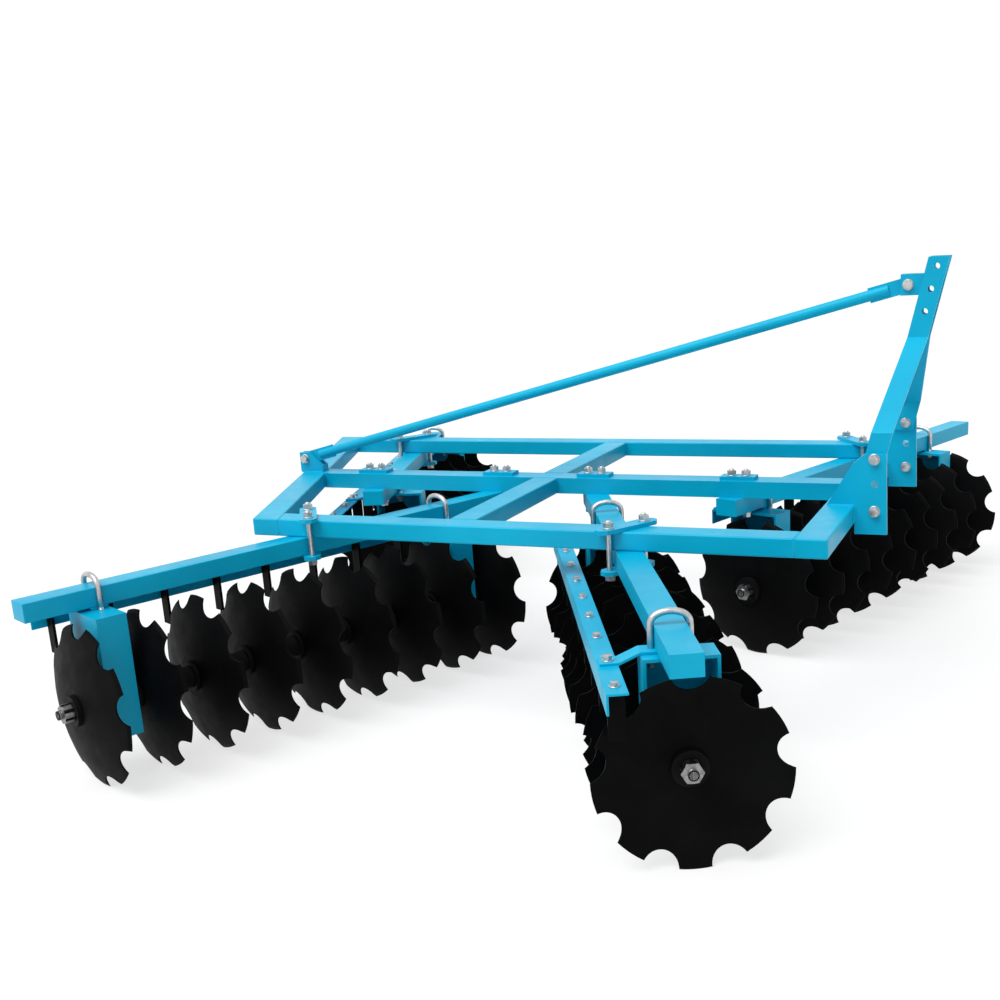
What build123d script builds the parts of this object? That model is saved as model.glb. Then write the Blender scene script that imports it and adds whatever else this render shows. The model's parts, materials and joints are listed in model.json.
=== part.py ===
# Mounted disc harrow with four gangs of notched discs, in millimetres.
# +X is the direction of travel, +Y the machine's left, +Z up, and the ground is z = 0.
import os
from math import cos, radians, sin, sqrt

from build123d import *

os.makedirs("parts", exist_ok=True)

# Discs
disc_radius = 230.0
disc_thickness = 5.0
disc_flat_radius = 62.0
disc_dish_radius = 600.0
disc_edge = 2.0
disc_bevel = 9.0
notch_count = 9
notch_radius = 44.0
notch_depth = 35.0
disc_spacing = 175.0

# Axles: a square bar with spools between the discs and a threaded end beyond each end washer
axle_square = 30.0
axle_hole_gap = 0.4
spool_radius = 32.0
spool_flange_radius = 44.0
spool_flange_width = 10.0
end_washer_radius = 44.0
end_washer_width = 12.0
end_nut_across_flats = 46.0
end_nut_height = 26.0
axle_thread_radius = 13.0
axle_end_stub = 12.0

# Hangers are channels under the beams, open to one end, with a bearing on the web
hanger_plate = 8.0
hanger_width = 176.0
hanger_depth = 86.0
hanger_offset = 5.0
hanger_bottom_z = 130.0
bearing_radius = 46.0
bearing_width = 58.0
bearing_clearance = 0.06

# Main frame of rectangular tube
frame_half_width = 780.0
frame_front_x = 1058.0
frame_top_z = 593.0
rail_width = 89.0
rail_height = 54.0
middle_member_back = 1144.0
rear_right_back = 1792.0
rear_left_back = 2415.0

# Gang beams
beam_width = 75.0
beam_height = 54.0

# Hitch
plate_thickness = 14.0
plate_half_spacing = 351.0
plate_reach = 92.0
plate_top_z = 744.0
plate_bottom_z = 509.0
plate_seat_back = 80.0
plate_upper_back = 6.0
plate_slope_length = 34.0
plate_slope_height = 27.0
mast_bolt_x = 54.0
mast_bolt_z = 728.0
hitch_bolt_x = 56.0
hitch_bolt_z = 577.0
hitch_bore_z = 657.0
hitch_bore_radius = 11.2
mast_width = 60.0
mast_thickness = 12.0
mast_lean = 57.0 / 235.0
mast_foot_z = 704.0
mast_bend_z = 800.0
mast_neck_z = 1038.0
mast_top_z = 1273.0
mast_gap = 52.0
top_bore_radius = 9.8
top_bore_z = (1245.0, 1180.0, 1115.0)
lug_bolt_x = 98.0
lug_bolt_z = 1194.0
lug_back_x = 76.0
lug_height = 62.0
lug_setback = 16.0
lug_slot_clearance = 3.0

# Stay from the mast to the rear of the frame
stay_radius = 17.0
stay_rear_back = 2083.0
stay_rear_z = 642.0
stay_end_plate = 12.0
stay_end_length = 120.0
stay_end_height = 46.0
clevis_gap = 14.0
clevis_plate = 12.0
clevis_length = 96.0

# Clamps between the beams and the outer rails, and bolts through the beams and the centre rail
clamp_width = 52.0
clamp_thickness = 12.0
clamp_top_margin = 40.0
clamp_bottom_margin = 26.0
clamp_corner = 16.0
clamp_rod_radius = 8.0
clamp_rod_tail = 8.0
rod_clearance = 2.0
centre_bolt_spacing = 48.0
centre_plate_length = 116.0
bolt_hole_gap = 0.5
nut_across_flats = 26.0
nut_height = 14.0

# Scraper bars: an angle bar behind each beam with an arm to each disc
scraper_bar_leg = 50.0
scraper_bar_thickness = 6.0
scraper_bar_behind = 147.0
scraper_bar_top_z = 456.0
scraper_arm_width = 40.0
scraper_arm_thickness = 8.0
scraper_arm_gap = 9.0
scraper_arm_bottom_z = 330.0
scraper_bar_margin = 48.0
strap_width = 50.0
strap_thickness = 8.0

# Each gang: its name, the beam's outer end (back from the frame's front, and left of centre),
# the heading of the inward direction, the beam's length, the number of discs, the first
# disc's hub from the beam's outer end, the axle's lead ahead of the beam, which side of the
# inward direction is the front (+1 left, -1 right), the dish (+1 opens outward, -1 inward),
# how far in from the middle of their free gap the hangers stand, how far in from the outer and
# the inner hanger's middle their straps lie, which way the hangers open (+1 inward, -1 outward),
# how many gaps between discs lie inward of the inner hanger's own, and how many discs at the
# inner end have no scraper
gang_columns = (
    "name", "back", "left", "heading", "length", "discs", "first", "lead", "front", "dish",
    "hanger_shift", "outer_strap", "inner_strap", "hanger_opens", "inner_gaps", "bare_discs",
)
gang_rows = (
    ("front_right", 144.0, -1587.0, 116.4, 1850.0, 9, 123.0, 20.0, -1, 1, 12.0, 15.0, 15.0, -1, 0, 0),
    ("front_left", -124.0, 1608.0, -109.0, 1781.0, 9, 329.0, 52.0, 1, 1, 4.0, -15.0, -39.0, 1, 0, 1),
    ("rear_right", 1987.0, -1579.0, 66.1, 1810.0, 9, 78.0, 87.0, -1, -1, 5.0, 15.0, 15.0, 1, 0, 0),
    ("rear_left", 2198.0, 1260.0, -72.2, 1412.0, 9, -36.0, 75.0, 1, -1, 5.0, 15.0, 15.0, 1, 1, 0),
)
gangs = [dict(zip(gang_columns, row)) for row in gang_rows]

beam_top_z = frame_top_z - rail_height
beam_bottom_z = beam_top_z - beam_height
frame_bottom_z = beam_top_z
axle_z = disc_radius
bolt_hole_radius = clamp_rod_radius + bolt_hole_gap


def save(part, name):
    part.label = name
    export_step(part, f"parts/{name}.step")


def gang_plane(gang, z=0.0):
    """The gang's own plane: its X runs inward along the beam from the outer end."""
    heading = radians(gang["heading"])
    return Plane(
        origin=(frame_front_x - gang["back"], gang["left"], z),
        x_dir=(cos(heading), sin(heading), 0),
        z_dir=(0, 0, 1),
    )


def cross_plane(gang, along):
    """A plane square to the gang's beam, facing inward, its Y up; X times "front" is ahead."""
    base = gang_plane(gang)
    origin = base.from_local_coords(Vector(along, 0, 0))
    return Plane(origin=origin, x_dir=base.y_dir, z_dir=base.x_dir)


def crossing(gang, rail_y):
    """Where a gang's beam crosses under the rail centred on rail_y, as (x, y)."""
    along = (rail_y - gang["left"]) / sin(radians(gang["heading"]))
    spot = gang_plane(gang).from_local_coords(Vector(along, 0, 0))
    return spot.X, spot.Y


centre_bolts = {}
for gang in gangs:
    middle_x, middle_y = crossing(gang, 0)
    centre_bolts[gang["name"]] = [
        (middle_x - centre_bolt_spacing / 2, middle_y),
        (middle_x + centre_bolt_spacing / 2, middle_y),
    ]


def rectangle_between(x_one, x_other, y_one, y_other):
    with Locations(((x_one + x_other) / 2, (y_one + y_other) / 2)):
        Rectangle(abs(x_other - x_one), abs(y_other - y_one))


# Frame
front_inner_x = frame_front_x - rail_width
middle_front_x = frame_front_x - middle_member_back + rail_width
middle_back_x = frame_front_x - middle_member_back
rear_right_x = frame_front_x - rear_right_back
rear_left_x = frame_front_x - rear_left_back
rear_slant = (rear_left_x - rear_right_x) / (2 * frame_half_width)
rear_member_length = rail_width * sqrt(1 + rear_slant**2)


def rear_face_x(y):
    """Where the slanted rear member's inner face lies at a given y."""
    return rear_right_x + rear_slant * (y + frame_half_width) + rear_member_length


rail_rows = (
    ("right_rail", -frame_half_width, -frame_half_width + rail_width),
    ("centre_rail", -rail_width / 2, rail_width / 2),
    ("left_rail", frame_half_width - rail_width, frame_half_width),
)
for rail_name, y_low, y_high in rail_rows:
    with BuildPart() as rail:
        with BuildSketch(Plane.XY.offset(frame_bottom_z)):
            with BuildLine():
                Polyline(
                    (rear_face_x(y_low), y_low),
                    (front_inner_x, y_low),
                    (front_inner_x, y_high),
                    (rear_face_x(y_high), y_high),
                    close=True,
                )
            make_face()
            if y_low < 0 < y_high:
                with Locations(*[spot for spots in centre_bolts.values() for spot in spots]):
                    Circle(bolt_hole_radius, mode=Mode.SUBTRACT)
        extrude(amount=rail_height)
    save(rail.part, rail_name)

with BuildPart() as front_member:
    with BuildSketch(Plane.XY.offset(frame_bottom_z)):
        rectangle_between(front_inner_x, frame_front_x, -frame_half_width, frame_half_width)
    extrude(amount=rail_height)
save(front_member.part, "front_member")

for member_name, side in (("middle_member_right", -1), ("middle_member_left", 1)):
    member_ends = sorted((side * rail_width / 2, side * (frame_half_width - rail_width)))
    with BuildPart() as middle_member:
        with BuildSketch(Plane.XY.offset(frame_bottom_z)):
            rectangle_between(middle_back_x, middle_front_x, *member_ends)
        extrude(amount=rail_height)
    save(middle_member.part, member_name)

with BuildPart() as rear_member:
    with BuildSketch(Plane.XY.offset(frame_bottom_z)):
        with BuildLine():
            Polyline(
                (rear_right_x, -frame_half_width),
                (rear_right_x + rear_member_length, -frame_half_width),
                (rear_left_x + rear_member_length, frame_half_width),
                (rear_left_x, frame_half_width),
                close=True,
            )
        make_face()
    extrude(amount=rail_height)
save(rear_member.part, "rear_member")

# Hitch plates sit on the front member and hang down in front of it
for plate_name, side in (("right_hitch_plate", -1), ("left_hitch_plate", 1)):
    with BuildPart() as hitch_plate:
        plate_plane = Plane(
            origin=(frame_front_x, side * plate_half_spacing, 0), x_dir=(1, 0, 0), z_dir=(0, -1, 0)
        )
        with BuildSketch(plate_plane):
            with BuildLine():
                Polyline(
                    (0, plate_bottom_z),
                    (plate_reach, plate_bottom_z),
                    (plate_reach - 4, plate_top_z),
                    (plate_slope_length - plate_upper_back, plate_top_z),
                    (-plate_upper_back, plate_top_z - plate_slope_height),
                    (-plate_seat_back, frame_top_z),
                    (0, frame_top_z),
                    close=True,
                )
            make_face()
            with Locations((hitch_bolt_x, hitch_bore_z)):
                Circle(hitch_bore_radius, mode=Mode.SUBTRACT)
            with Locations((hitch_bolt_x, hitch_bolt_z), (mast_bolt_x, mast_bolt_z)):
                Circle(bolt_hole_radius, mode=Mode.SUBTRACT)
        extrude(amount=plate_thickness / 2, both=True)
    save(hitch_plate.part, plate_name)


# Mast: two flat bars, bolted to the inner faces of the hitch plates, bent inward to the top
def mast_centre_x(z):
    return frame_front_x + mast_bolt_x + (z - mast_bolt_z) * mast_lean


foot_y = plate_half_spacing - (plate_thickness + mast_thickness) / 2
neck_y = (mast_gap + mast_thickness) / 2
for leg_name, side in (("right_mast_leg", -1), ("left_mast_leg", 1)):
    with BuildPart() as mast_leg:
        with BuildSketch(Plane.YZ.offset(frame_front_x - rail_width)):
            with BuildLine():
                front_view = Polyline(
                    (side * foot_y, mast_foot_z),
                    (side * foot_y, mast_bend_z),
                    (side * neck_y, mast_neck_z),
                    (side * neck_y, mast_top_z),
                )
                offset(front_view, amount=mast_thickness / 2, side=Side.BOTH)
            make_face()
        extrude(amount=4 * rail_width)
        with BuildSketch(Plane.XZ):
            with BuildLine():
                Polyline(
                    (mast_centre_x(mast_foot_z) - mast_width / 2, mast_foot_z),
                    (mast_centre_x(mast_foot_z) + mast_width / 2, mast_foot_z),
                    (mast_centre_x(mast_top_z) + mast_width / 2, mast_top_z),
                    (mast_centre_x(mast_top_z) - mast_width / 2, mast_top_z),
                    close=True,
                )
            make_face()
            with Locations(*[(mast_centre_x(z), z) for z in top_bore_z]):
                Circle(top_bore_radius, mode=Mode.SUBTRACT)
            with Locations((frame_front_x + mast_bolt_x, mast_bolt_z)):
                Circle(bolt_hole_radius, mode=Mode.SUBTRACT)
        extrude(amount=frame_half_width, both=True, mode=Mode.INTERSECT)
    save(mast_leg.part, leg_name)

# Lug between the mast legs, reaching back to the stay
lug_low_z = lug_bolt_z - lug_height / 2
lug_high_z = lug_bolt_z + lug_height / 2
lug_side = Plane.XZ
with BuildPart() as mast_lug:
    with BuildSketch(lug_side):
        with BuildLine():
            Polyline(
                (frame_front_x + lug_back_x, lug_low_z),
                (mast_centre_x(lug_low_z) - lug_setback, lug_low_z),
                (mast_centre_x(lug_high_z) - lug_setback, lug_high_z),
                (frame_front_x + lug_back_x, lug_high_z),
                close=True,
            )
        make_face()
        with Locations((frame_front_x + lug_bolt_x, lug_bolt_z)):
            Circle(bolt_hole_radius, mode=Mode.SUBTRACT)
    extrude(amount=mast_gap / 2, both=True)
    with BuildSketch(lug_side):
        rectangle_between(
            frame_front_x,
            frame_front_x + lug_bolt_x + stay_end_height / 2 + lug_slot_clearance,
            lug_low_z,
            lug_high_z,
        )
    extrude(amount=clevis_gap / 2, both=True, mode=Mode.SUBTRACT)
save(mast_lug.part, "mast_lug")

# Stay tube with a flat eye at each end
stay_front = Vector(frame_front_x + lug_bolt_x, 0, lug_bolt_z)
stay_rear = Vector(frame_front_x - stay_rear_back, 0, stay_rear_z)
stay_direction = (stay_front - stay_rear).normalized()
stay_length = (stay_front - stay_rear).length
stay_plane = Plane(origin=stay_rear, x_dir=stay_direction, z_dir=(0, -1, 0))
with BuildPart() as stay:
    with BuildSketch(Plane(origin=stay_rear + stay_direction * stay_end_length / 2, z_dir=stay_direction)):
        Circle(stay_radius)
    extrude(amount=stay_length - stay_end_length)
    with BuildSketch(stay_plane):
        for eye_x, inward in ((0, 1), (stay_length, -1)):
            ends = sorted((eye_x, eye_x + inward * stay_end_length))
            rectangle_between(*ends, -stay_end_height / 2, stay_end_height / 2)
            with Locations((eye_x, 0)):
                Circle(stay_end_height / 2)
        with Locations((0, 0), (stay_length, 0)):
            Circle(bolt_hole_radius, mode=Mode.SUBTRACT)
    extrude(amount=stay_end_plate / 2, both=True)
save(stay.part, "stay_tube")

with BuildPart() as rear_clevis:
    clevis_back = stay_rear.X - stay_end_height / 2
    ear_front = stay_rear.X + stay_end_height / 2
    ear_top_z = stay_rear_z + stay_end_height / 2
    clevis_floor_z = stay_rear_z - stay_end_height / 2 - rod_clearance
    with BuildSketch(Plane.XZ):
        with BuildLine():
            Polyline(
                (clevis_back, frame_top_z),
                (clevis_back + clevis_length, frame_top_z),
                (clevis_back + clevis_length, clevis_floor_z),
                (ear_front, ear_top_z),
                (clevis_back, ear_top_z),
                close=True,
            )
        make_face()
        with Locations((stay_rear.X, stay_rear_z)):
            Circle(bolt_hole_radius, mode=Mode.SUBTRACT)
    extrude(amount=clevis_gap / 2 + clevis_plate, both=True)
    with BuildSketch(Plane.XZ):
        rectangle_between(clevis_back, clevis_back + clevis_length, clevis_floor_z, ear_top_z)
    extrude(amount=clevis_gap / 2, both=True, mode=Mode.SUBTRACT)
save(rear_clevis.part, "rear_clevis")


# Bolts along Y: their x, z and the two outer faces that the head and the nut bear on
plate_outer_y = plate_half_spacing + plate_thickness / 2
plate_inner_y = plate_half_spacing - plate_thickness / 2
leg_inner_y = foot_y - mast_thickness / 2
clevis_outer_y = clevis_gap / 2 + clevis_plate
bolt_rows = (
    (frame_front_x + hitch_bolt_x, hitch_bolt_z, -plate_outer_y, -plate_inner_y),
    (frame_front_x + hitch_bolt_x, hitch_bolt_z, plate_inner_y, plate_outer_y),
    (frame_front_x + mast_bolt_x, mast_bolt_z, -plate_outer_y, -leg_inner_y),
    (frame_front_x + mast_bolt_x, mast_bolt_z, leg_inner_y, plate_outer_y),
    (stay_front.X, stay_front.Z, -mast_gap / 2, mast_gap / 2),
    (stay_rear.X, stay_rear.Z, -clevis_outer_y, clevis_outer_y),
)
with BuildPart() as hitch_bolts:
    for bolt_x, bolt_z, y_low, y_high in bolt_rows:
        with BuildSketch(Plane(origin=(bolt_x, y_low, bolt_z), x_dir=(1, 0, 0), z_dir=(0, 1, 0))):
            Circle(clamp_rod_radius)
        extrude(amount=y_high - y_low)
        for face_y, outward in ((y_low, -1), (y_high, 1)):
            with BuildSketch(Plane(origin=(bolt_x, face_y, bolt_z), x_dir=(1, 0, 0), z_dir=(0, outward, 0))):
                RegularPolygon(nut_across_flats / 2, 6, major_radius=False)
            extrude(amount=nut_height)
save(hitch_bolts.part, "hitch_bolts")


# Gangs
def clamp_spot(gang):
    """Where a gang's beam crosses the outer rail on its side."""
    outer_rail_y = frame_half_width - rail_width / 2
    return crossing(gang, outer_rail_y if gang["left"] > 0 else -outer_rail_y)


def clamp_direction(gang):
    """The strap lies across the wide corner between beam and rail."""
    heading = gang["heading"] % 180
    return heading / 2 if heading > 90 else (heading + 180) / 2


def rod_offset(gang):
    """How far along the strap its rods clear both the rail and the beam."""
    heading = gang["heading"] % 180
    wide_corner = heading if heading > 90 else 180 - heading
    clear = max(rail_width, beam_width) / 2 + clamp_rod_radius + rod_clearance
    return clear / sin(radians(wide_corner / 2))


def clamp_plane(gang, z):
    direction = radians(clamp_direction(gang))
    spot = clamp_spot(gang)
    return Plane(origin=(*spot, z), x_dir=(cos(direction), sin(direction), 0), z_dir=(0, 0, 1))


for plates_name, plates_z, margin in (
    ("clamp_top_plates", frame_top_z, clamp_top_margin),
    ("clamp_bottom_plates", beam_bottom_z - clamp_thickness, clamp_bottom_margin),
):
    with BuildPart() as clamp_plates:
        for gang in gangs:
            half = rod_offset(gang)
            with BuildSketch(clamp_plane(gang, plates_z)) as strap:
                Rectangle(2 * (half + margin), clamp_width)
                chamfer(strap.vertices(), clamp_corner)
                with Locations((half, 0), (-half, 0)):
                    Circle(bolt_hole_radius, mode=Mode.SUBTRACT)
            extrude(amount=clamp_thickness)
        if plates_z == frame_top_z:
            for gang in gangs:
                spots = centre_bolts[gang["name"]]
                with BuildSketch(Plane.XY.offset(plates_z)):
                    with Locations(crossing(gang, 0)):
                        Rectangle(centre_plate_length, clamp_width)
                    with Locations(*spots):
                        Circle(bolt_hole_radius, mode=Mode.SUBTRACT)
                extrude(amount=clamp_thickness)
    save(clamp_plates.part, plates_name)

rod_high_z = frame_top_z + clamp_thickness
with BuildPart() as clamp_rods:
    for gang in gangs:
        half = rod_offset(gang)
        corner = clamp_plane(gang, 0)
        ends = [corner.from_local_coords(Vector(place, 0, 0)) for place in (half, -half)]
        rod_spots = [((end.X, end.Y), beam_bottom_z - clamp_thickness) for end in ends]
        rod_spots += [(spot, beam_bottom_z) for spot in centre_bolts[gang["name"]]]
        for spot, rod_low_z in rod_spots:
            with BuildSketch(Plane.XY.offset(rod_low_z - nut_height)):
                with Locations(spot):
                    Circle(clamp_rod_radius)
            extrude(amount=rod_high_z - rod_low_z + 2 * nut_height + clamp_rod_tail)
            for nut_z in (rod_low_z - nut_height, rod_high_z):
                with BuildSketch(Plane.XY.offset(nut_z)):
                    with Locations(spot):
                        RegularPolygon(nut_across_flats / 2, 6, major_radius=False)
                extrude(amount=nut_height)
save(clamp_rods.part, "clamp_rods")


def hub_places(gang):
    return [gang["first"] + disc_spacing * i for i in range(gang["discs"])]


def dish_depth(radius):
    """How far the dished disc's face has moved along the axle at a radius."""
    flat = sqrt(disc_dish_radius**2 - disc_flat_radius**2)
    return flat - sqrt(disc_dish_radius**2 - radius**2)


rim_depth = dish_depth(disc_radius)
mid_radius = (disc_flat_radius + disc_radius) / 2
bevel_radius = disc_radius - disc_bevel
half_disc = disc_thickness / 2
notch_centre = disc_radius - notch_depth + notch_radius

# One disc, lying flat with its hollow up: its half section is revolved, then notched
with BuildPart() as disc:
    with BuildSketch(Plane.XZ):
        with BuildLine():
            Line((0, -half_disc), (disc_flat_radius, -half_disc))
            ThreePointArc(
                (disc_flat_radius, -half_disc),
                (mid_radius, dish_depth(mid_radius) - half_disc),
                (bevel_radius, dish_depth(bevel_radius) - half_disc),
            )
            Line(
                (bevel_radius, dish_depth(bevel_radius) - half_disc),
                (disc_radius, rim_depth + half_disc - disc_edge),
            )
            Line((disc_radius, rim_depth + half_disc - disc_edge), (disc_radius, rim_depth + half_disc))
            ThreePointArc(
                (disc_radius, rim_depth + half_disc),
                (mid_radius, dish_depth(mid_radius) + half_disc),
                (disc_flat_radius, half_disc),
            )
            Line((disc_flat_radius, half_disc), (0, half_disc))
            Line((0, half_disc), (0, -half_disc))
        make_face()
    revolve(axis=Axis.Z)
    with BuildSketch(Plane.XY.offset(-disc_thickness)):
        with PolarLocations(notch_centre, notch_count, start_angle=180 / notch_count):
            Circle(notch_radius)
        Rectangle(axle_square + 2 * axle_hole_gap, axle_square + 2 * axle_hole_gap)
    extrude(amount=rim_depth + 2 * disc_thickness, mode=Mode.SUBTRACT)


def hanger_places(gang):
    """Middles of the hangers: between the first two discs, and between two near the inner end."""
    hubs = hub_places(gang)
    shift = gang["hanger_shift"] - gang["dish"] * rim_depth / 2
    inner = gang["discs"] - 1 - gang["inner_gaps"]
    return [(hubs[0] + hubs[1]) / 2 + shift, (hubs[inner - 1] + hubs[inner]) / 2 + shift]


for gang in gangs:
    label = gang["name"]
    front = gang["front"]
    lead = gang["lead"]
    hubs = hub_places(gang)

    with BuildPart() as beam:
        with BuildSketch(gang_plane(gang, beam_bottom_z)):
            rectangle_between(0, gang["length"], -beam_width / 2, beam_width / 2)
        extrude(amount=beam_height)
        with BuildSketch(Plane.XY.offset(beam_bottom_z)):
            with Locations(*centre_bolts[label]):
                Circle(bolt_hole_radius)
        extrude(amount=beam_height, mode=Mode.SUBTRACT)
    save(beam.part, f"{label}_beam")

    # Hangers hang below the straps that the beam clamps, each with a bearing inside its web
    hanger_top_z = beam_bottom_z - strap_thickness
    hanger_front = lead / 2 + hanger_offset + hanger_width / 2
    hanger_rear = lead / 2 + hanger_offset - hanger_width / 2
    opens = gang["hanger_opens"]
    with BuildPart() as hangers:
        for place in hanger_places(gang):
            low = place - hanger_depth / 2
            bearing_low = low if opens > 0 else low + hanger_depth - bearing_width
            with BuildSketch(cross_plane(gang, low)):
                rectangle_between(front * hanger_rear, front * hanger_front, hanger_bottom_z, hanger_top_z)
            extrude(amount=hanger_depth)
            with BuildSketch(cross_plane(gang, low + opens * hanger_plate)):
                rectangle_between(
                    front * (hanger_rear + hanger_plate),
                    front * (hanger_front - hanger_plate),
                    hanger_bottom_z,
                    hanger_top_z - hanger_plate,
                )
            extrude(amount=hanger_depth, mode=Mode.SUBTRACT)
            with BuildSketch(cross_plane(gang, bearing_low)):
                with Locations((front * lead, axle_z)):
                    Circle(bearing_radius)
            extrude(amount=bearing_width)
            with BuildSketch(cross_plane(gang, low)):
                with Locations((front * lead, axle_z)):
                    Circle(spool_radius + bearing_clearance)
            extrude(amount=hanger_depth, mode=Mode.SUBTRACT)
    save(hangers.part, f"{label}_hangers")

    # The axle's round parts in half section: place along the axle up, radius across
    inward = gang_plane(gang).x_dir
    axle_base = gang_plane(gang).from_local_coords(Vector(0, lead * front, axle_z))
    axle_section = Plane(origin=axle_base, x_dir=(0, 0, 1), z_dir=Vector(0, 0, 1).cross(inward))
    axle_line = Axis(origin=axle_base, direction=inward)

    def across_axle(along):
        """A plane across the axle at a place along it, its X up."""
        return Plane(origin=axle_base + inward * along, x_dir=(0, 0, 1), z_dir=inward)

    washer_low = hubs[0] - half_disc - end_washer_width
    washer_high = hubs[-1] + half_disc
    nut_low = washer_low - end_nut_height
    nut_high = washer_high + end_washer_width
    axle_start = nut_low - axle_end_stub
    axle_end = nut_high + end_nut_height + axle_end_stub
    with BuildPart() as axle:
        with BuildSketch(axle_section):
            for hub, next_hub in zip(hubs, hubs[1:]):
                low = hub + half_disc
                high = next_hub - half_disc
                rectangle_between(0, spool_radius, low, high)
                rectangle_between(0, spool_flange_radius, low, low + spool_flange_width)
                rectangle_between(0, spool_flange_radius, high - spool_flange_width, high)
            for washer in (washer_low, washer_high):
                rectangle_between(0, end_washer_radius, washer, washer + end_washer_width)
        revolve(axis=axle_line)
        with BuildSketch(across_axle(washer_low)):
            Rectangle(axle_square, axle_square)
        extrude(amount=nut_high - washer_low)
        with BuildSketch(across_axle(axle_start)):
            Circle(axle_thread_radius)
        extrude(amount=axle_end - axle_start)
        for nut in (nut_low, nut_high):
            with BuildSketch(across_axle(nut)):
                RegularPolygon(end_nut_across_flats / 2, 6, major_radius=False)
            extrude(amount=end_nut_height)
    save(axle.part, f"{label}_axle")

    # Each disc sits a quarter turn on from the last one, as the square bar lets it
    open_side = -gang["dish"]
    with BuildPart() as discs:
        for quarter, hub in enumerate(hubs):
            seat = Plane(
                origin=axle_base + inward * hub, x_dir=(0, 0, -1), z_dir=inward * open_side
            )
            with Locations(seat.location * Rotation(0, 0, 90 * quarter)):
                add(disc.part)
    save(discs.part, f"{label}_discs")

    # Scraper arms hang from the bar on each disc's open side, just clear of the rim
    arm_spots = []
    for hub in hubs[: gang["discs"] - gang["bare_discs"]]:
        near_face = hub + open_side * (half_disc + rim_depth + scraper_arm_gap)
        arm_spots.append(near_face + open_side * scraper_arm_thickness / 2)
    bar_rear = -scraper_bar_behind - scraper_bar_leg / 2
    bar_inner = bar_rear + scraper_bar_thickness
    bar_front = bar_rear + scraper_bar_leg
    strap_bend = min(-beam_width / 2, hanger_rear)
    strap_spots = [
        place + gang[shift] for place, shift in zip(hanger_places(gang), ("outer_strap", "inner_strap"))
    ]
    bar_start = arm_spots[0] - scraper_bar_margin
    bar_end = max(arm_spots[-1] + scraper_bar_margin, strap_spots[-1] + strap_width / 2)
    with BuildPart() as scraper_bar:
        with BuildSketch(cross_plane(gang, bar_start)):
            rectangle_between(
                front * bar_rear, front * bar_front, scraper_bar_top_z - scraper_bar_thickness, scraper_bar_top_z
            )
            rectangle_between(
                front * bar_rear, front * bar_inner, scraper_bar_top_z - scraper_bar_leg, scraper_bar_top_z
            )
        extrude(amount=bar_end - bar_start)
        for strap_spot in strap_spots:
            with BuildSketch(cross_plane(gang, strap_spot - strap_width / 2)):
                with BuildLine():
                    Polyline(
                        (front * beam_width / 2, beam_bottom_z),
                        (front * beam_width / 2, beam_bottom_z - strap_thickness),
                        (front * strap_bend, beam_bottom_z - strap_thickness),
                        (front * bar_front, scraper_bar_top_z),
                        (front * bar_inner, scraper_bar_top_z),
                        (front * bar_inner, scraper_bar_top_z + strap_thickness),
                        (front * bar_front, scraper_bar_top_z + strap_thickness),
                        (front * strap_bend, beam_bottom_z),
                        close=True,
                    )
                make_face()
            extrude(amount=strap_width)
    save(scraper_bar.part, f"{label}_scraper_bar")

    with BuildPart() as scraper_arms:
        with BuildSketch(gang_plane(gang, scraper_arm_bottom_z)):
            for spot in arm_spots:
                rectangle_between(
                    spot - scraper_arm_thickness / 2,
                    spot + scraper_arm_thickness / 2,
                    front * bar_inner,
                    front * (bar_inner + scraper_arm_width),
                )
        extrude(amount=scraper_bar_top_z - scraper_bar_thickness - scraper_arm_bottom_z)
    save(scraper_arms.part, f"{label}_scrapers")
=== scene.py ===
# Looks of a mounted disc harrow: light, camera, finishes, U-bolts, fasteners and weld seams.
# Everything is in metres in the frame's own axes: +X the direction of travel, +Y left, +Z up.
import json
from math import cos, hypot, pi, radians, sin

import bmesh
import bpy
from mathutils import Matrix, Vector

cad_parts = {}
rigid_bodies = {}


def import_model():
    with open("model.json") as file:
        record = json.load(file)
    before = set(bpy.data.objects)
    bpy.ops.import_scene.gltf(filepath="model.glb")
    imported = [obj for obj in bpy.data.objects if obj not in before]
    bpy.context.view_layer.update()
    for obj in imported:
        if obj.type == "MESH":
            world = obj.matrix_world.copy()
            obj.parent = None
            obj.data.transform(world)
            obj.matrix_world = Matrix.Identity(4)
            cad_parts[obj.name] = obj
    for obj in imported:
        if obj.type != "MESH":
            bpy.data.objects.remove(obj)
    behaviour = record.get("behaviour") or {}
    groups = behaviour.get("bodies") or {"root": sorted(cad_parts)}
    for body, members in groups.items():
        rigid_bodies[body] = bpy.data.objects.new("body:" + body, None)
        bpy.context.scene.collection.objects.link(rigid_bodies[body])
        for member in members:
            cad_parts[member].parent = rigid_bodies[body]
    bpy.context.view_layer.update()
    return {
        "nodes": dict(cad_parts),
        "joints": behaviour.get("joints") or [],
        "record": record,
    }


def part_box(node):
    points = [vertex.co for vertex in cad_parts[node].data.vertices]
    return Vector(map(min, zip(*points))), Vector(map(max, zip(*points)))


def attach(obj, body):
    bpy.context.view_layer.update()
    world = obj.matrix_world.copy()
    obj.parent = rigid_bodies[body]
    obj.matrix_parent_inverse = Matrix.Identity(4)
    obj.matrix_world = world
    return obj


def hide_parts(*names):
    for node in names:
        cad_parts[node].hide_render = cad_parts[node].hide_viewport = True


for leftover in list(bpy.data.objects):
    bpy.data.objects.remove(leftover)

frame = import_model()
nodes = frame["nodes"]
scene = bpy.context.scene

# Camera, fitted to the photograph's edges
camera_ahead_of_front = 0.5780
camera_side = -3.9779
camera_height = 1.3897
camera_yaw = radians(23.47)
camera_pitch = radians(-15.19)
camera_roll = radians(-3.38)
camera_lens = 45.274
camera_shift = (-0.043, 0.08)

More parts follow.
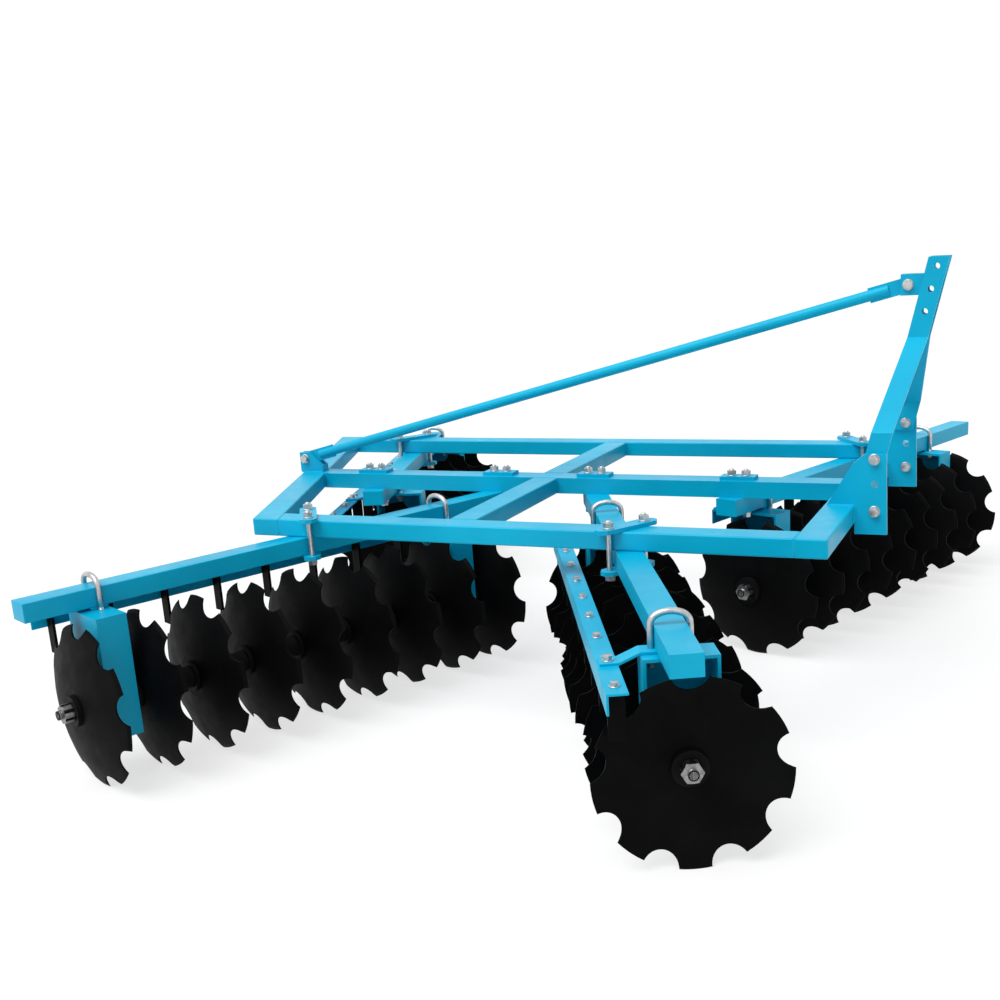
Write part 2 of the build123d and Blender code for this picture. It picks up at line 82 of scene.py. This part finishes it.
# U-bolts over the beams
ubolt_radius = 0.0080
ubolt_half_span = 0.0455
ubolt_arch_rise = 0.034
ubolt_arch_steps = 20
ubolt_arch_power = 0.75
ubolt_shoulder = 0.004
ubolt_tail = 0.012
ubolt_thread_length = 0.045

# Plates of the solids that the bolts go through
strap_thickness = 0.008
hanger_plate = 0.008
scraper_bar_leg = 0.050

# Nuts, bolt heads and washers
nut_across_flats = 0.026
nut_height = 0.014
washer_radius = 0.0165
washer_height = 0.0028
rod_radius = 0.0080
thread_pitch = 0.0022
thread_depth = 0.0007
small_across_flats = 0.017
small_height = 0.0085
small_washer_radius = 0.0115
small_washer_height = 0.002
nut_chamfer = 0.55
nut_cap = 0.97
rod_thread_past_nut = 0.012
rod_thread_overlap = 0.004

# Bearing bolts
bearing_bolt_circle = 0.060
bearing_ring_radius = 0.047

# Bolts on the scraper bars, by their distance ahead of the bar's rear face
bar_washer_height = 0.0022
arm_bolt_ahead = 0.024
arm_washer_radius = 0.0125
strap_bolt_ahead = 0.028
strap_washer_radius = 0.0145
strap_across_flats = 0.019
strap_head_height = 0.010

# Axle ends
axle_nut_across_flats = 0.0472
axle_nut_height = 0.0262
axle_thread_radius = 0.0133
axle_end_length = 0.038

# Weld seams and edges
weld_radius = 0.0042
butt_weld_radius = 0.0062
butt_weld_sink = 0.0050
upright_weld_sink = 0.0058
weld_end_gap = 0.003
weld_end_inset = 0.004
weld_ripple = 0.0065
tube_corner = 0.005
drilled_tube_corner = 0.003
plate_corner = 0.0016
joined_corner_gap = 0.00002
flat_angle = radians(0.5)
bevel_angle = radians(35)
smooth_angle = radians(40)

# Light: an even sky and one wide soft sun from above the camera's left
sky_strength = 0.45
sun_level = 2.7
sun_from = (-0.5, -0.8, 1.7)
sun_width = radians(50)
floor_glow = 0.60
floor_glow_strength = 1.13


def link(mesh_name, mesh):
    made = bpy.data.objects.new(mesh_name, mesh)
    scene.collection.objects.link(made)
    return made


def finish_piece(name, bm, material, body="frame"):
    """A mesh from bm as a piece that rides on a body."""
    mesh = bpy.data.meshes.new(name)
    bmesh.ops.recalc_face_normals(bm, faces=bm.faces)
    bm.to_mesh(mesh)
    bm.free()
    mesh.shade_smooth()
    mesh.set_sharp_from_angle(angle=smooth_angle)
    mesh.materials.append(material)
    made = link(name, mesh)
    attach(made, body)
    return made


# Finishes
def new_material(name):
    material = bpy.data.materials.new(name)
    material.use_nodes = True
    return material, material.node_tree.nodes, material.node_tree.links


def noise(tree_nodes, links, scale, detail=3.0, roughness=0.5):
    place = tree_nodes.new("ShaderNodeTexCoord")
    texture = tree_nodes.new("ShaderNodeTexNoise")
    texture.inputs["Scale"].default_value = scale
    texture.inputs["Detail"].default_value = detail
    texture.inputs["Roughness"].default_value = roughness
    links.new(place.outputs["Object"], texture.inputs["Vector"])
    return texture


def ramp(tree_nodes, links, source, stops):
    """A colour ramp with stops of (place, colour)."""
    made = tree_nodes.new("ShaderNodeValToRGB")
    links.new(source, made.inputs["Fac"])
    elements = made.color_ramp.elements
    while len(elements) < len(stops):
        elements.new(0.5)
    for element, (place, colour) in zip(elements, stops):
        element.position = place
        element.color = (*colour, 1.0)
    return made


def grey(value):
    return (value, value, value)


def add_bump(tree_nodes, links, shader, layers):
    """Bumps from (texture output, strength, distance), each on top of the last."""
    last = None
    for source, strength, distance in layers:
        bump = tree_nodes.new("ShaderNodeBump")
        bump.inputs["Strength"].default_value = strength
        bump.inputs["Distance"].default_value = distance
        links.new(source, bump.inputs["Height"])
        if last:
            links.new(last.outputs["Normal"], bump.inputs["Normal"])
        last = bump
    links.new(last.outputs["Normal"], shader.inputs["Normal"])


def make_paint():
    """Gloss cyan enamel with a little orange peel and sag, and thin and thick places."""
    material, tree_nodes, links = new_material("frame_enamel")
    shader = tree_nodes["Principled BSDF"]
    shader.inputs["IOR"].default_value = 1.27
    broad = noise(tree_nodes, links, 2.6, 4.0)
    colour = ramp(tree_nodes, links, broad.outputs["Fac"], [
        (0.30, (0.000, 0.375, 0.600)),
        (0.55, (0.000, 0.425, 0.665)),
        (0.75, (0.002, 0.475, 0.715)),
    ])
    links.new(colour.outputs["Color"], shader.inputs["Base Color"])
    smear = noise(tree_nodes, links, 11.0, 6.0, 0.6)
    gloss = ramp(tree_nodes, links, smear.outputs["Fac"], [(0.30, grey(0.30)), (0.75, grey(0.46))])
    links.new(gloss.outputs["Color"], shader.inputs["Roughness"])
    peel = noise(tree_nodes, links, 420.0, 1.0)
    sag = noise(tree_nodes, links, 24.0, 2.0)
    add_bump(tree_nodes, links, shader, [
        (sag.outputs["Fac"], 0.12, 0.004),
        (peel.outputs["Fac"], 0.10, 0.0006),
    ])
    return material


def make_black_steel(name, low, high, rough_low, rough_high):
    """Satin black coating on rolled steel, a little cloudy, with fine grain."""
    material, tree_nodes, links = new_material(name)
    shader = tree_nodes["Principled BSDF"]
    shader.inputs["IOR"].default_value = 1.13
    cloud = noise(tree_nodes, links, 7.0, 7.0, 0.62)
    colour = ramp(tree_nodes, links, cloud.outputs["Fac"], [(0.35, low), (0.72, high)])
    links.new(colour.outputs["Color"], shader.inputs["Base Color"])
    smear = noise(tree_nodes, links, 18.0, 5.0, 0.6)
    gloss = ramp(
        tree_nodes, links, smear.outputs["Fac"], [(0.30, grey(rough_low)), (0.75, grey(rough_high))]
    )
    links.new(gloss.outputs["Color"], shader.inputs["Roughness"])
    grain = noise(tree_nodes, links, 260.0, 3.0)
    dents = noise(tree_nodes, links, 14.0, 2.0)
    add_bump(tree_nodes, links, shader, [
        (dents.outputs["Fac"], 0.10, 0.004),
        (grain.outputs["Fac"], 0.18, 0.0006),
    ])
    return material


def make_zinc(name, dark, light):
    """Zinc plate, dull and mottled, a little scratched."""
    material, tree_nodes, links = new_material(name)
    shader = tree_nodes["Principled BSDF"]
    shader.inputs["Metallic"].default_value = 1.0
    mottle = noise(tree_nodes, links, 90.0, 5.0, 0.6)
    colour = ramp(tree_nodes, links, mottle.outputs["Fac"], [(0.32, dark), (0.68, light)])
    links.new(colour.outputs["Color"], shader.inputs["Base Color"])
    worn = noise(tree_nodes, links, 60.0, 4.0)
    gloss = ramp(tree_nodes, links, worn.outputs["Fac"], [(0.30, grey(0.28)), (0.75, grey(0.46))])
    links.new(gloss.outputs["Color"], shader.inputs["Roughness"])
    scratches = noise(tree_nodes, links, 700.0, 3.0)
    add_bump(tree_nodes, links, shader, [(scratches.outputs["Fac"], 0.15, 0.0003)])
    return material


paint = make_paint()
disc_black = make_black_steel("disc_black", grey(0.0010), (0.0032, 0.0034, 0.0039), 0.46, 0.62)
axle_black = make_black_steel("axle_black", grey(0.004), grey(0.010), 0.42, 0.58)
scraper_black = make_black_steel("scraper_black", grey(0.0012), (0.0036, 0.0038, 0.0044), 0.46, 0.62)
zinc = make_zinc("zinc_plate", grey(0.42), grey(0.62))
# A darker copy of the zinc plate with the same gloss, used on the U-bolt nuts, the axle nuts and the
# bearing bolts.
darker_zinc = make_zinc("darker_zinc_plate", grey(0.20), grey(0.36))

finish_of_slot = {
    "frame_paint": paint,
    "disc_steel": disc_black,
    "axle_steel": axle_black,
    "scraper_steel": scraper_black,
    "zinc_steel": zinc,
}
for entry in frame["record"]["subparts"]:
    node = nodes[entry["node"]]
    node.data.materials.clear()
    node.data.materials.append(finish_of_slot[entry["material_slot"]])


# Rounded corners on the tubes, the scraper bars and their arms
def round_edges(node_name, width, segments):
    node = nodes[node_name]
    weld = node.modifiers.new("joined_corners", "WELD")
    weld.merge_threshold = joined_corner_gap
    flat = node.modifiers.new("whole_flats", "DECIMATE")
    flat.decimate_type = "DISSOLVE"
    flat.angle_limit = flat_angle
    bevel = node.modifiers.new("rounded_edges", "BEVEL")
    bevel.width = width
    bevel.segments = segments
    bevel.limit_method = "ANGLE"
    bevel.angle_limit = bevel_angle
    bevel.use_clamp_overlap = True
    bevel.harden_normals = True


tube_nodes = ["right_rail", "left_rail", "front_member", "rear_member"]
tube_nodes += ["middle_member_right", "middle_member_left"]
for name in tube_nodes:
    round_edges(name, tube_corner, 3)
for name in ["centre_rail"] + [name for name in nodes if name.endswith("_beam")]:
    round_edges(name, drilled_tube_corner, 3)
for name in nodes:
    if name.endswith(("_scraper_bar", "_scrapers")):
        round_edges(name, plate_corner, 2)


# Small solids
def basis(axis):
    """A rotation that turns +Z to an axis."""
    return Vector(axis).to_track_quat("Z", "Y").to_matrix().to_4x4()


def add_lathe(bm, place, axis, profile, sides=32, turn=0.0):
    """A solid turned from a profile of (radius, height) that starts and ends on the axis."""
    matrix = Matrix.Translation(place) @ basis(axis) @ Matrix.Rotation(turn, 4, "Z")
    rings = []
    for radius, height in profile:
        if radius == 0.0:
            rings.append([bm.verts.new(matrix @ Vector((0, 0, height)))])
            continue
        ring = []
        for i in range(sides):
            angle = 2 * pi * i / sides
            rim = Vector((radius * cos(angle), radius * sin(angle), height))
            ring.append(bm.verts.new(matrix @ rim))
        rings.append(ring)
    for low, high in zip(rings, rings[1:]):
        for i in range(sides):
            j = i + 1
            corners = [low[i % len(low)], low[j % len(low)], high[j % len(high)], high[i % len(high)]]
            bm.faces.new(list(dict.fromkeys(corners)))


def add_hexagon(bm, place, axis, across_flats, height, turn=0.0):
    """A hexagon nut or head with rounded-off corners, standing up from its place along axis."""
    matrix = Matrix.Translation(place) @ basis(axis) @ Matrix.Rotation(turn, 4, "Z")
    flat = across_flats / 2
    corner = flat / cos(radians(30))
    drop = (corner - flat) * nut_chamfer
    sides = 48
    rings = []
    for level, side in ((0.0, 0), (0.0, 1), (height, 1), (height, 0)):
        ring = []
        for i in range(sides):
            angle = 2 * pi * i / sides
            within = (angle % (pi / 3)) - pi / 6
            hexagon = flat / cos(within)
            radius = hexagon if side else min(flat, hexagon) * nut_cap
            sink = drop * (hexagon - flat) / (corner - flat) * side
            z = level + (sink if level == 0.0 else -sink)
            rim = Vector((radius * cos(angle), radius * sin(angle), z))
            ring.append(bm.verts.new(matrix @ rim))
        rings.append(ring)
    for low, high in zip(rings, rings[1:]):
        for i in range(sides):
            j = (i + 1) % sides
            bm.faces.new((low[i], low[j], high[j], high[i]))
    bm.faces.new(rings[-1])
    bm.faces.new(list(reversed(rings[0])))


def add_washer(bm, place, axis, radius, height):
    edge = height * 0.3
    profile = [(0.0, 0.0), (radius - edge, 0.0), (radius, edge), (radius, height - edge)]
    profile += [(radius - edge, height), (0.0, height)]
    add_lathe(bm, place, axis, profile, sides=40)


def add_thread(bm, place, axis, radius, length):
    """A threaded end with a chamfered tip; its ridges follow the pitch."""
    profile = [(0.0, 0.0), (radius, 0.0)]
    turns = max(1, int((length - radius * 0.3) / thread_pitch))
    for i in range(turns):
        start = i * thread_pitch
        profile.append((radius, start + thread_pitch * 0.25))
        profile.append((radius - thread_depth, start + thread_pitch * 0.6))
        profile.append((radius, start + thread_pitch * 0.95))
    profile.append((radius, length - radius * 0.25))
    profile.append((radius * 0.75, length))
    profile.append((0.0, length))
    add_lathe(bm, place, axis, profile, sides=24)


def add_tube(bm, path, radius_at, sides=16):
    """A round bar along a path of points; radius_at gives its radius at each point."""
    rings = []
    side_hint = None
    for i, point in enumerate(path):
        ahead = path[min(i + 1, len(path) - 1)]
        behind = path[max(i - 1, 0)]
        direction = (ahead - behind).normalized()
        if side_hint is None:
            side_hint = direction.orthogonal().normalized()
        across = (side_hint - direction * side_hint.dot(direction)).normalized()
        side_hint = across
        up = direction.cross(across)
        radius = radius_at(i)
        ring = []
        for k in range(sides):
            angle = 2 * pi * k / sides
            ring.append(bm.verts.new(point + (across * cos(angle) + up * sin(angle)) * radius))
        rings.append(ring)
    for low, high in zip(rings, rings[1:]):
        for k in range(sides):
            j = (k + 1) % sides
            bm.faces.new((low[k], low[j], high[j], high[k]))
    bm.faces.new(list(reversed(rings[0])))
    bm.faces.new(rings[-1])


def add_weld(bm, start, end, radius=weld_radius):
    """A weld seam from start to end: a bar with the ripples of the weld pool, tapered at both ends."""
    start, end = Vector(start), Vector(end)
    length = (end - start).length
    steps = max(4, int(length / (weld_ripple / 3)))
    path = [start.lerp(end, i / steps) for i in range(steps + 1)]

    def radius_at(i):
        taper = min(1.0, 0.55 + 0.45 * min(i, steps - i) / 3)
        return radius * taper * (1 + 0.10 * sin(2 * pi * i / 3))

    add_tube(bm, path, radius_at, sides=8)


def corners_of(node_name):
    return [vertex.co for vertex in nodes[node_name].data.vertices]


def grouped(values, gap):
    """Sorted values split into groups wherever two neighbours are more than gap apart."""
    groups = []
    for value in sorted(values):
        if not groups or value - groups[-1][-1] > gap:
            groups.append([])
        groups[-1].append(value)
    return groups


def clustered(points, near):
    """Points in groups; near tells whether a point belongs with the first one of a group."""
    groups = []
    for point in points:
        group = next((g for g in groups if near(g[0], point)), None)
        if group:
            group.append(point)
        else:
            groups.append([point])
    return groups


# Gangs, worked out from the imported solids
class Gang:
    """One gang's places: along runs inward on the beam, ahead towards the front."""

    def __init__(self, name):
        self.name = name
        joint = next(j for j in frame["joints"] if j["name"] == f"{name}_gang_spin")
        self.body = joint["child"]
        self.inward = Vector(joint["axis"]).normalized()
        beam = corners_of(f"{name}_beam")
        middle = sum(beam, Vector()) / len(beam)
        axle = Vector(joint["pos_m"])
        self.ahead = Vector((-self.inward.y, self.inward.x, 0))
        if (axle - middle).dot(self.ahead) < 0:
            self.ahead = -self.ahead
        self.origin = middle - self.inward * middle.dot(self.inward)
        self.origin.z = 0
        self.beam = [self.local(p) for p in beam]
        self.lead = self.local(axle).y
        self.axle_z = axle.z
        self.beam_top = max(p.z for p in self.beam)
        self.beam_bottom = min(p.z for p in self.beam)
        self.hangers = self.spans(f"{name}_hangers", 0.1)
        self.arms = self.spans(f"{name}_scrapers", 0.03)
        bar = [self.local(p) for p in corners_of(f"{name}_scraper_bar")]
        self.bar_rear = min(p.y for p in bar)
        self.bar_bottom = min(p.z for p in bar)
        straps = [p for p in bar if p.y > self.beam_half_width() - 0.001]
        self.straps = [(g[0] + g[-1]) / 2 for g in grouped([p.x for p in straps], 0.1)]

    def local(self, point):
        offset = point - self.origin
        return Vector((offset.dot(self.inward), offset.dot(self.ahead), point.z))

    def world(self, along, ahead, z):
        return self.origin + self.inward * along + self.ahead * ahead + Vector((0, 0, z))

    def spans(self, node_name, gap):
        """The (low, high) along of each separate solid in a node."""
        along = [self.local(p).x for p in corners_of(node_name)]
        return [(group[0], group[-1]) for group in grouped(along, gap)]

    def beam_half_width(self):
        return max(p.y for p in self.beam)


gangs = [Gang(name) for name in ("front_right", "front_left", "rear_right", "rear_left")]

# U-bolts that hold the hangers and straps on the beams
for gang in gangs:
    bolts = bmesh.new()
    nuts = bmesh.new()
    plate_bottom = gang.beam_bottom - strap_thickness - hanger_plate
    leg_low = plate_bottom - washer_height - nut_height - ubolt_tail
    shoulder = gang.beam_top - ubolt_shoulder
    for along in gang.straps:
        path = []
        thread_steps = int(ubolt_thread_length / (thread_pitch / 2))
        for side in (-1, 1):
            leg = []
            for i in range(thread_steps + 1):
                ridge = thread_depth if i % 2 and i < thread_steps else 0.0
                place = gang.world(along, side * ubolt_half_span, leg_low + i * thread_pitch / 2)
                leg.append((place, ubolt_radius - ridge))
            leg.append((gang.world(along, side * ubolt_half_span, shoulder), ubolt_radius))
            if side == -1:
                path += leg
                for i in range(1, ubolt_arch_steps):
                    angle = pi * i / ubolt_arch_steps
                    ahead = -ubolt_half_span * cos(angle)
                    rise = ubolt_arch_rise * sin(angle) ** ubolt_arch_power
                    path.append((gang.world(along, ahead, shoulder + rise), ubolt_radius))
            else:
                path += reversed(leg)
        add_tube(bolts, [p for p, _ in path], lambda i: path[i][1], sides=20)
        for side in (-1, 1):
            under = gang.world(along, side * ubolt_half_span, plate_bottom)
            add_washer(nuts, under, (0, 0, -1), washer_radius, washer_height)
            seat = under - Vector((0, 0, washer_height))
            add_hexagon(nuts, seat, (0, 0, -1), nut_across_flats, nut_height, turn=along * 7)
    finish_piece(f"{gang.name}_ubolts", bolts, zinc)
    finish_piece(f"{gang.name}_ubolt_nuts", nuts, darker_zinc)

# Clamp rods in place of the plain ones
rod_points = corners_of("clamp_rods")
rod_high = max(p.z for p in rod_points)
rod_tops = [point for point in rod_points if point.z >= rod_high - 0.001]
spots = clustered(rod_tops, lambda a, b: hypot(a.x - b.x, a.y - b.y) < 0.02)
rods = bmesh.new()
rod_nuts = bmesh.new()
seat_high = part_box("clamp_top_plates")[1].z
for turn, spot in enumerate(spots):
    x = (min(p.x for p in spot) + max(p.x for p in spot)) / 2
    y = (min(p.y for p in spot) + max(p.y for p in spot)) / 2
    rod_low = min(p.z for p in rod_points if hypot(p.x - x, p.y - y) < 0.018)
    seat_low = rod_low + nut_height
    shank_start = seat_low + rod_thread_past_nut
    shank_end = seat_high - rod_thread_past_nut
    low_thread = shank_start - rod_low + rod_thread_overlap
    add_thread(rods, (x, y, shank_start), (0, 0, -1), rod_radius, low_thread)
    add_thread(rods, (x, y, shank_end), (0, 0, 1), rod_radius, rod_high - shank_end)
    shank = [Vector((x, y, shank_start)), Vector((x, y, shank_end))]
    add_tube(rods, shank, lambda i: rod_radius, sides=24)
    for seat, axis in ((seat_high, 1), (seat_low, -1)):
        add_washer(rod_nuts, (x, y, seat), (0, 0, axis), washer_radius, washer_height)
        add_hexagon(
            rod_nuts, (x, y, seat + axis * washer_height), (0, 0, axis), nut_across_flats,
            nut_height, turn=turn * 0.7,
        )
rods_piece = finish_piece("threaded_clamp_rods", rods, zinc)
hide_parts("clamp_rods")
finish_piece("clamp_rod_nuts", rod_nuts, zinc)

# Bolts across the hitch, the lug and the clevis, in place of the plain ones
cross_bolts = bmesh.new()
bolt_spots = clustered(
    corners_of("hitch_bolts"),
    lambda a, b: hypot(a.x - b.x, a.z - b.z) < 0.045 and abs(a.y - b.y) < 0.2,
)
for turn, spot in enumerate(bolt_spots):
    x = (min(p.x for p in spot) + max(p.x for p in spot)) / 2
    z = (min(p.z for p in spot) + max(p.z for p in spot)) / 2
    low = min(p.y for p in spot) + nut_height
    high = max(p.y for p in spot) - nut_height
    shank = [Vector((x, low, z)), Vector((x, high, z))]
    add_tube(cross_bolts, shank, lambda i: rod_radius, sides=24)
    for seat, axis in ((low, -1), (high, 1)):
        add_washer(cross_bolts, (x, seat, z), (0, axis, 0), washer_radius, washer_height)
        add_hexagon(
            cross_bolts, (x, seat + axis * washer_height, z), (0, axis, 0), nut_across_flats,
            nut_height - washer_height, turn=0.4 + turn,
        )
cross_piece = finish_piece("hitch_bolts_with_washers", cross_bolts, zinc)
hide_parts("hitch_bolts")

# Axle nuts and threaded ends
for gang in gangs:
    ends = bmesh.new()
    axle = [gang.local(p).x for p in corners_of(f"{gang.name}_axle")]
    for tip, axis in ((min(axle), -1), (max(axle), 1)):
        outward = gang.inward * axis
        seat = gang.world(tip - axis * axle_end_length, gang.lead, gang.axle_z)
        add_hexagon(ends, seat, outward, axle_nut_across_flats, axle_nut_height)
        add_thread(
            ends, seat + outward * axle_nut_height, outward, axle_thread_radius,
            axle_end_length - axle_nut_height,
        )
    finish_piece(f"{gang.name}_axle_nuts", ends, darker_zinc, gang.body)

# Bolts that hold the bearings on the hangers, and the scraper arms and straps on their bar
for gang in gangs:
    bolts = bmesh.new()
    hanger_points = [gang.local(p) for p in corners_of(f"{gang.name}_hangers")]
    ring = [
        p.x for p in hanger_points
        if hypot(p.y - gang.lead, p.z - gang.axle_z) < bearing_ring_radius
    ]
    for low, high in gang.hangers:
        own_ring = [along for along in ring if low - 0.001 < along < high + 0.001]
        web, axis = (low, -1) if sum(own_ring) / len(own_ring) < (low + high) / 2 else (high, 1)
        outward = gang.inward * axis
        for corner in range(4):
            angle = pi / 4 + corner * pi / 2
            ahead = gang.lead + bearing_bolt_circle * cos(angle)
            z = gang.axle_z + bearing_bolt_circle * sin(angle)
            seat = gang.world(web, ahead, z)
            add_washer(bolts, seat, outward, small_washer_radius, small_washer_height)
            head = seat + outward * small_washer_height
            add_hexagon(bolts, head, outward, small_across_flats, small_height)
    finish_piece(f"{gang.name}_bearing_bolts", bolts, darker_zinc)

    bar_bolts = bmesh.new()
    bar_top = gang.bar_bottom + scraper_bar_leg
    on_washer = Vector((0, 0, bar_washer_height))
    for low, high in gang.arms:
        seat = gang.world((low + high) / 2, gang.bar_rear + arm_bolt_ahead, bar_top)
        add_washer(bar_bolts, seat, (0, 0, 1), arm_washer_radius, bar_washer_height)
        add_hexagon(bar_bolts, seat + on_washer, (0, 0, 1), small_across_flats, small_height)
    for along in gang.straps:
        seat = gang.world(along, gang.bar_rear + strap_bolt_ahead, bar_top + strap_thickness)
        add_washer(bar_bolts, seat, (0, 0, 1), strap_washer_radius, bar_washer_height)
        add_hexagon(bar_bolts, seat + on_washer, (0, 0, 1), strap_across_flats, strap_head_height)
    finish_piece(f"{gang.name}_bar_bolts", bar_bolts, zinc)

# Weld seams where the tubes of the frame meet: flush beads over the butted tops and
# undersides, and fillets in the upright corners
seams = bmesh.new()
rail_low_z, rail_high_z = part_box("front_member")[0].z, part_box("front_member")[1].z


def weld_joint(first, last):
    """Beads above and below a butted joint that runs from first to last, both (x, y)."""
    along = (Vector(last) - Vector(first)).normalized() * weld_end_gap
    start, end = Vector(first) + along, Vector(last) - along
    for z in (rail_high_z - butt_weld_sink, rail_low_z + butt_weld_sink):
        add_weld(seams, (*start, z), (*end, z), butt_weld_radius)


def weld_upright(place, inset=(0.0, 0.0)):
    """A bead up a corner of the frame at (x, y), moved by inset where the faces are flush."""
    x, y = place[0] + inset[0], place[1] + inset[1]
    radius = butt_weld_radius if any(inset) else weld_radius
    start, end = (x, y, rail_low_z + weld_end_inset), (x, y, rail_high_z - weld_end_inset)
    add_weld(seams, start, end, radius)


front_back_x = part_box("front_member")[0].x
rear_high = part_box("rear_member")[1]
for rail_name in ("right_rail", "centre_rail", "left_rail"):
    low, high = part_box(rail_name)
    rail_points = corners_of(rail_name)
    weld_joint((front_back_x, low.y), (front_back_x, high.y))
    rear_ends = [min(p.x for p in rail_points if abs(p.y - y) < 0.001) for y in (low.y, high.y)]
    weld_joint((rear_ends[0], low.y), (rear_ends[1], high.y))
    for y, side in ((low.y, 1), (high.y, -1)):
        outer = abs(abs(y) - rear_high.y) < 0.002
        inset = (0.0, side * upright_weld_sink) if outer else (0.0, 0.0)
        weld_upright((front_back_x, y), inset)
        weld_upright((rear_ends[0] if side > 0 else rear_ends[1], y), inset)
for member_name in ("middle_member_right", "middle_member_left"):
    low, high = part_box(member_name)
    for y in (low.y, high.y):
        weld_joint((low.x, y), (high.x, y))
        weld_upright((low.x, y))
        weld_upright((high.x, y))
front_face_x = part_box("front_member")[1].x
for plate_name in ("right_hitch_plate", "left_hitch_plate"):
    low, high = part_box(plate_name)
    for y in (low.y, high.y):
        corner = (front_face_x, y, rail_high_z)
        add_weld(seams, (low.x + weld_end_inset, y, rail_high_z), corner)
        add_weld(seams, (front_face_x, y, rail_low_z + weld_end_inset), corner)
low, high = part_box("rear_clevis")
for y in (low.y, high.y):
    start = (low.x + weld_end_inset, y, rail_high_z)
    add_weld(seams, start, (high.x - weld_end_inset, y, rail_high_z))
finish_piece("frame_weld_seams", seams, paint)

# Camera
front_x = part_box("front_member")[1].x
level = Vector((cos(camera_yaw), sin(camera_yaw), 0))
forward = Vector((-sin(camera_yaw), cos(camera_yaw), 0))
looking = forward * cos(camera_pitch) + Vector((0, 0, sin(camera_pitch)))
above = level.cross(looking)
across = level * cos(camera_roll) + above * sin(camera_roll)
upward = -level * sin(camera_roll) + above * cos(camera_roll)
camera_data = bpy.data.cameras.new("photo_camera")
camera_data.lens = camera_lens
camera_data.sensor_width = 36.0
camera_data.shift_x, camera_data.shift_y = camera_shift
camera_data.clip_end = 100.0
camera = link("photo_camera", camera_data)
turned = Matrix((across, upward, -looking)).transposed().to_4x4()
eye = (front_x + camera_ahead_of_front, camera_side, camera_height)
camera.matrix_world = Matrix.Translation(eye) @ turned
scene.camera = camera

# White floor that keeps the shadow, and a white world for what the camera and gloss see
floor_mesh = bpy.data.meshes.new("floor")
floor_size = 30.0
quarters = ((-1, -1), (1, -1), (1, 1), (-1, 1))
floor_corners = [(x * floor_size, y * floor_size, 0.0) for x, y in quarters]
floor_mesh.from_pydata(floor_corners, [], [(0, 1, 2, 3)])
floor = link("floor", floor_mesh)
floor_material, floor_nodes, floor_links = new_material("studio_floor")
floor_shader = floor_nodes["Principled BSDF"]
floor_shader.inputs["Base Color"].default_value = (0.80, 0.80, 0.80, 1.0)
floor_shader.inputs["Roughness"].default_value = 0.9
floor_mesh.materials.append(floor_material)


def camera_or_glossy(tree_nodes, links, level):
    """A factor of level for camera, glossy and transmission rays, and 0 for all others."""
    rays = tree_nodes.new("ShaderNodeLightPath")
    total = rays.outputs["Is Camera Ray"]
    for other in ("Is Glossy Ray", "Is Transmission Ray"):
        either = tree_nodes.new("ShaderNodeMath")
        either.operation = "MAXIMUM"
        links.new(total, either.inputs[0])
        links.new(rays.outputs[other], either.inputs[1])
        total = either.outputs["Value"]
    scaled = tree_nodes.new("ShaderNodeMath")
    scaled.operation = "MULTIPLY"
    scaled.inputs[1].default_value = level
    links.new(total, scaled.inputs[0])
    return scaled.outputs["Value"]


glow = floor_nodes.new("ShaderNodeEmission")
glow.inputs["Strength"].default_value = floor_glow_strength
floor_mix = floor_nodes.new("ShaderNodeMixShader")
floor_links.new(camera_or_glossy(floor_nodes, floor_links, floor_glow), floor_mix.inputs["Fac"])
floor_links.new(floor_shader.outputs["BSDF"], floor_mix.inputs[1])
floor_links.new(glow.outputs["Emission"], floor_mix.inputs[2])
floor_links.new(floor_mix.outputs["Shader"], floor_nodes["Material Output"].inputs["Surface"])

world = bpy.data.worlds.new("studio")
scene.world = world
world.use_nodes = True
world_nodes, world_links = world.node_tree.nodes, world.node_tree.links
soft = world_nodes["Background"]
soft.inputs["Color"].default_value = (1.0, 1.0, 1.0, 1.0)
soft.inputs["Strength"].default_value = sky_strength
white = world_nodes.new("ShaderNodeBackground")
white.inputs["Color"].default_value = (1.0, 1.0, 1.0, 1.0)
white.inputs["Strength"].default_value = 1.0
mixed = world_nodes.new("ShaderNodeMixShader")
world_links.new(camera_or_glossy(world_nodes, world_links, 1.0), mixed.inputs["Fac"])
world_links.new(soft.outputs["Background"], mixed.inputs[1])
world_links.new(white.outputs["Background"], mixed.inputs[2])
world_links.new(mixed.outputs["Shader"], world_nodes["World Output"].inputs["Surface"])

sun_data = bpy.data.lights.new("soft_sun", "SUN")
sun_data.energy = sun_level
sun_data.angle = sun_width
sun = link("soft_sun", sun_data)
sun.rotation_euler = (-Vector(sun_from)).to_track_quat("-Z", "Y").to_euler()

scene.view_settings.view_transform = "Standard"
